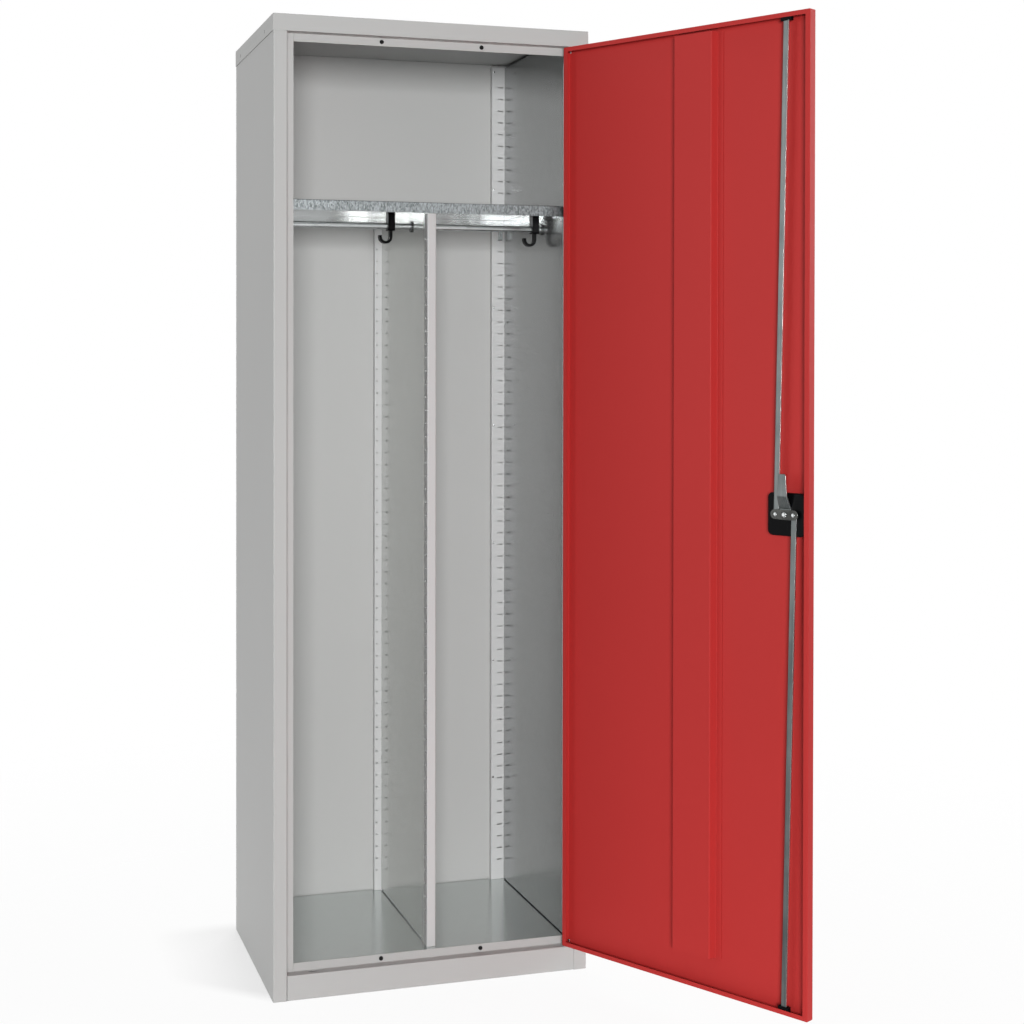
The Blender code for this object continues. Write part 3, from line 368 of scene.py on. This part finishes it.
def plated_steel(name, dark, light, roughness, wear_and_highlight, stretch=EVEN, highlight_along=None):
    """Zinc plate over drawn steel: streaks along the drawing direction, rounded edges, lightened by
    wear.

    Given a direction, a strip's sides that look along it get a near-white painted highlight instead of
    the worn edges.
    """
    steel = Surface(name, {"Metallic": 1.0})
    streak = steel.noise(STEEL_STREAKS, detail=3.0, stretch=stretch)
    cloud = steel.noise(STEEL_CLOUDS)
    # Strips given a direction get a painted highlight on their sides in place of edge wear
    rub = steel.facing(highlight_along) if highlight_along else steel.edges(STEEL_EDGE)
    body = steel.mixed((streak * 0.6 + cloud * 0.4).sharpened(0.25, 0.75), dark, light)
    steel.set("Base Color", steel.mixed(rub * 0.8, body, wear_and_highlight))
    steel.set("Roughness", streak * 0.16 + roughness - rub * 0.06)
    steel.bumps(streak, 0.06, FITTING_RELIEF, STEEL_ARRIS)
    return steel.material


def moulded(name, colour, roughness, grain, specular):
    """Moulded plastic or rubber with a fine spark grain and slightly polished edges."""
    plastic = Surface(name, {"Specular IOR Level": specular})
    speck = plastic.noise(grain, detail=3.0)
    rub = plastic.edges(PLASTIC_EDGE)
    body = plastic.mixed(speck, *(shade(colour, factor) for factor in SPECK_SHADES))
    plastic.set("Base Color", plastic.mixed(rub * 0.5, body, shade(colour, POLISHED_SHADE)))
    plastic.set("Roughness", speck * 0.12 + roughness - rub * 0.08)
    plastic.bumps(speck, 0.12, FITTING_RELIEF)
    return plastic.material


PAINT_GREY = (0.480, 0.483, 0.476)
BRIGHT = (0.70, 0.72, 0.72)
# Near-white painted highlight on the sides of the rods, tongue, spindle and hinge pins
PAINTED_SIDE_HIGHLIGHT = (0.96, 0.98, 0.97)
cap_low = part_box("top_cap")[0]
RIVETS = [(cap_low[1] + inset, cap_low[2] + RIVET_HEIGHT) for inset in RIVETS_FROM_FRONT]

GREY = powder_coat("grey_powder_coat", PAINT_GREY, roughness=0.42, specular=0.40)
CAP_GREY = powder_coat(
    "grey_powder_coat_riveted", PAINT_GREY, roughness=0.42, specular=0.40, rivets=RIVETS
)
PALE_GREY = powder_coat(
    "pale_grey_powder_coat", (0.570, 0.575, 0.575), roughness=0.40, specular=0.40
)
RED = powder_coat("red_powder_coat", (0.486, 0.034, 0.032), roughness=0.44, specular=0.12)
FLOOR_ZINC = galvanised(
    "galvanised_floor",
    dark=(0.59, 0.62, 0.61),
    light=(0.65, 0.68, 0.67),
    roughness=0.14,
    metallic=0.90,
)
WALL_ZINC = galvanised(
    "galvanised_lining",
    dark=(0.34, 0.35, 0.35),
    light=(0.41, 0.42, 0.42),
    roughness=0.19,
    metallic=0.85,
)
DIVIDER_ZINC = galvanised(
    "galvanised_divider",
    dark=(0.49, 0.50, 0.48),
    light=(0.58, 0.59, 0.57),
    roughness=0.15,
    metallic=0.80,
)
SHELF_ZINC = frosted_zinc(
    "galvanised_shelf",
    dark=(0.08, 0.09, 0.09),
    light=(0.31, 0.335, 0.345),
    roughness=0.26,
    smooth=BRIGHT,
    smooth_roughness=0.17,
    metallic=0.80,
)
# Rods, tongue, spindle and hinge pins: the sides that look along the open door carry a painted
# highlight
UPRIGHT_PLATE = plated_steel(
    "zinc_plate_upright_side_highlight",
    dark=(0.06, 0.07, 0.07),
    light=(0.16, 0.17, 0.17),
    roughness=0.28,
    wear_and_highlight=PAINTED_SIDE_HIGHLIGHT,
    stretch=DRAWN_UPRIGHT,
    highlight_along=DOOR_ALONG,
)
LEVEL_PLATE = plated_steel(
    "zinc_plate_level",
    dark=(0.34, 0.36, 0.36),
    light=(0.60, 0.62, 0.62),
    roughness=0.18,
    wear_and_highlight=BRIGHT,
    stretch=DRAWN_LEVEL,
)
PRESSED_PLATE = plated_steel(
    "zinc_plate_pressed",
    dark=(0.07, 0.075, 0.075),
    light=(0.20, 0.21, 0.21),
    roughness=0.16,
    wear_and_highlight=(0.33, 0.34, 0.34),
)
CAM_STEEL = plated_steel(
    "dark_steel_pressed",
    dark=(0.018, 0.018, 0.017),
    light=(0.070, 0.072, 0.068),
    roughness=0.18,
    wear_and_highlight=(0.22, 0.23, 0.22),
)
BRIGHT_HEADS = plated_steel(
    "bright_steel_heads",
    dark=(0.22, 0.23, 0.23),
    light=(0.42, 0.43, 0.43),
    roughness=0.10,
    wear_and_highlight=BRIGHT,
)
BLACK = moulded(
    "black_plastic_moulded", (0.0030, 0.0030, 0.0035), roughness=0.24, grain=700.0, specular=0.035
)
RUBBER = moulded(
    "black_rubber_matt", (0.008, 0.008, 0.008), roughness=0.62, grain=900.0, specular=0.15
)
NYLON = moulded(
    "red_nylon_turned", (0.400, 0.032, 0.030), roughness=0.46, grain=500.0, specular=0.2
)

LOOKS = (
    (GREY, ("left_side_panel", "right_side_panel", "back_panel", "header_rail", "plinth")),
    (CAP_GREY, ("top_cap",)),
    (PALE_GREY, ("left_rear_upright", "right_rear_upright", "divider_front_post", "divider_rear_post")),
    (RED, ("door_panel", "door_stiffener")),
    (FLOOR_ZINC, ("floor_pan",)),
    (WALL_ZINC, ("left_liner", "right_liner")),
    (DIVIDER_ZINC, ("divider_sheet",)),
    (SHELF_ZINC, ("hat_shelf",)),
    (UPRIGHT_PLATE, (
        "upper_rod", "lower_rod", "lock_spindle", "latch_tongue", "upper_hinge_pin", "lower_hinge_pin",
    )),
    (LEVEL_PLATE, ("left_rail", "right_rail")),
    (PRESSED_PLATE, (
        "left_shelf_clip", "right_shelf_clip", "left_inner_rail_socket", "left_outer_rail_socket",
        "right_inner_rail_socket", "right_outer_rail_socket",
    )),
    (CAM_STEEL, ("cam_plate",)),
    (BRIGHT_HEADS, ("key_barrel", "upper_rod_pin", "lower_rod_pin", "hub_screw")),
    (BLACK, (
        "left_coat_hook", "right_coat_hook", "upper_rod_guide", "lower_rod_guide", "lock_dish",
        "lock_cover", "turn_grip",
    )),
    (RUBBER, ("lower_left_buffer", "lower_right_buffer", "upper_left_buffer", "upper_right_buffer")),
    (NYLON, ("upper_hinge_bush", "lower_hinge_bush")),
)
for look, names in LOOKS:
    for name in names:
        mesh = NODES[name].data
        mesh.materials.clear()
        mesh.materials.append(look)


# Small fittings

def placed(name, data):
    """Put an object into the scene."""
    made = bpy.data.objects.new(name, data)
    bpy.context.scene.collection.objects.link(made)
    return made


def piece(name, bm, look, body):
    """Make a finished piece that rides on a body."""
    mesh = bpy.data.meshes.new(name)
    bmesh.ops.recalc_face_normals(bm, faces=list(bm.faces))
    bm.to_mesh(mesh)
    bm.free()
    mesh.shade_smooth()
    mesh.set_sharp_from_angle(angle=SMOOTH_UP_TO)
    mesh.materials.append(look)
    made = placed(name, mesh)
    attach(made, body)


def dome(bm, place, outwards, diameter, rise):
    """Low domed head that stands on a face and points outwards."""
    radius = diameter / 2
    turn = Vector(outwards).to_track_quat("Z", "Y").to_matrix().to_4x4()
    made = bmesh.ops.create_cone(
        bm,
        cap_ends=True,
        segments=WELD_SIDES,
        radius1=radius,
        radius2=radius,
        depth=rise,
        matrix=Matrix.Translation((0.0, 0.0, rise / 2)),
    )["verts"]
    top = [e for e in bm.edges if all(v in made and v.co.z > rise / 2 for v in e.verts)]
    eased = bmesh.ops.bevel(
        bm,
        geom=top,
        offset=rise * WELD_EASE,
        segments=WELD_EASE_STEPS,
        profile=0.5,
        affect="EDGES",
        material=-1,
    )
    moved = set(eased["verts"]) | {v for v in made if v.is_valid}
    bmesh.ops.transform(bm, matrix=Matrix.Translation(place) @ turn, verts=list(moved))


def weld_marks():
    """Bright spot welds down the inner edge of each rear upright."""
    for side in ("left", "right"):
        low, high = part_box(f"{side}_rear_upright")
        inner = min(low[0], high[0], key=abs)
        edge = inner + math.copysign(WELD_FROM_EDGE, inner)
        bm = bmesh.new()
        z = high[2] - WELD_FROM_TOP
        while z > low[2]:
            dome(bm, (edge, low[1], z), FORWARDS, WELD_DIAMETER, WELD_RISE)
            z -= WELD_PITCH
        piece(f"{side}_upright_welds", bm, BRIGHT_HEADS, "carcass")


# Light, floor and camera

def area_light(name, place, target, size, power):
    """Soft lamp at a place, turned towards its target."""
    data = bpy.data.lights.new(name, "AREA")
    data.shape = "RECTANGLE"
    data.size, data.size_y = size
    data.energy = power
    lamp = placed(name, data)
    lamp.location = place
    lamp.rotation_euler = (Vector(target) - Vector(place)).to_track_quat("-Z", "Y").to_euler()


def shown(finish):
    """1 where a ray shows the backdrop itself: to the camera, in a mirror or through glass."""
    kinds = ("Is Camera Ray", "Is Glossy Ray", "Is Transmission Ray")
    seen, mirrored, through = (finish.node("ShaderNodeLightPath", {}, {}, kind) for kind in kinds)
    return (seen + mirrored + through).clipped()


def studio_world():
    """Even light from all round, in front of a white backdrop."""
    world = bpy.data.worlds.new("studio")
    bpy.context.scene.world = world
    world.use_nodes = True
    air = Finish(world.node_tree)
    light = air.node("ShaderNodeBackground", {}, {"Color": WHITE, "Strength": AMBIENT})
    backdrop = air.node("ShaderNodeBackground", {}, {"Color": WHITE, "Strength": BACKDROP})
    air.end(air.node("ShaderNodeMixShader", {}, {0: shown(air), 1: light, 2: backdrop}))


def under(paper):
    """1 beneath the carcass, where the floor doesn't glow, 0 round it."""
    inside = 1.0
    for axis, least, most in zip("XY", *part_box("floor_pan")):
        place = paper.across(axis)
        inside = inside * (place - least).sharpened(0.0, UNDER_EDGE)
        inside = inside * (most - place).sharpened(0.0, UNDER_EDGE)
    return inside


def painted_shadow(paper):
    """1 at the carcass's left foot, where a painted shadow lowers the floor's glow, falling to 0 round
    it.
    """
    low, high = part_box("left_side_panel")
    away = low[0] - paper.across("X")
    near = away.sharpened(-UNDER_EDGE, 0.0) - away.sharpened(0.0, SHADOW_REACH)
    behind = (paper.across("Y") - low[1] - away * SHADOW_SLANT).sharpened(0.0, SHADOW_END)
    ahead = (high[1] - paper.across("Y")).sharpened(-SHADOW_END, 0.0)
    return near * behind * ahead


def studio_floor():
    """White floor that glows, keeps a faint part of the locker's real shadow and a painted shadow at
    its left foot, and fades into the backdrop.
    """
    bm = bmesh.new()
    bmesh.ops.create_grid(bm, x_segments=1, y_segments=1, size=FLOOR_HALF)
    mesh = bpy.data.meshes.new("studio_floor")
    bm.to_mesh(mesh)
    bm.free()
    floor = placed("studio_floor", mesh)
    floor.location = (0.0, 0.0, -FLOOR_DROP)
    paper = Surface("studio_floor", {"Roughness": FLOOR_ROUGHNESS, "Base Color": FLOOR_PAPER})
    far = paper.node("ShaderNodeVectorMath", {"operation": "LENGTH"}, {0: paper.place}, "Value")
    lit = Value(paper, paper.shader.outputs[0])
    glow = paper.node("ShaderNodeEmission", {}, {"Color": WHITE, "Strength": BACKDROP})
    clear = paper.node("ShaderNodeBsdfTransparent", {}, {})
    # The glow is lowered under the carcass, and at its left foot for a painted shadow
    glowing = shown(paper) * FLOOR_GLOW * (1.0 - under(paper)) * (1.0 - painted_shadow(paper) * SHADOW_DEPTH)
    near = paper.node("ShaderNodeMixShader", {}, {0: glowing, 1: lit, 2: glow})
    fade = far.sharpened(FADE_START, FADE_END)
    paper.end(paper.node("ShaderNodeMixShader", {}, {0: fade, 1: near, 2: clear}))
    mesh.materials.append(paper.material)


def photo_camera():
    """Camera that stands, looks and is framed as the photograph's."""
    data = bpy.data.cameras.new("photo_camera")
    data.sensor_width = SENSOR
    data.lens = FOCAL_PIXELS * SENSOR / PICTURE
    data.shift_x = (PICTURE / 2 - CENTRE_PIXELS[0]) / PICTURE
    data.shift_y = (CENTRE_PIXELS[1] - PICTURE / 2) / PICTURE
    camera = placed("photo_camera", data)
    turn = Matrix.Rotation(-CAMERA_YAW, 4, "Z")
    turn = turn @ Matrix.Rotation(math.pi / 2 + CAMERA_PITCH, 4, "X")
    turn = turn @ Matrix.Rotation(CAMERA_ROLL, 4, "Z")
    camera.matrix_world = Matrix.Translation(CAMERA_AT) @ turn
    bpy.context.scene.camera = camera


weld_marks()
for lamp in LAMPS:
    area_light(*lamp)
studio_world()
studio_floor()
photo_camera()
bpy.context.scene.view_settings.view_transform = "Standard"
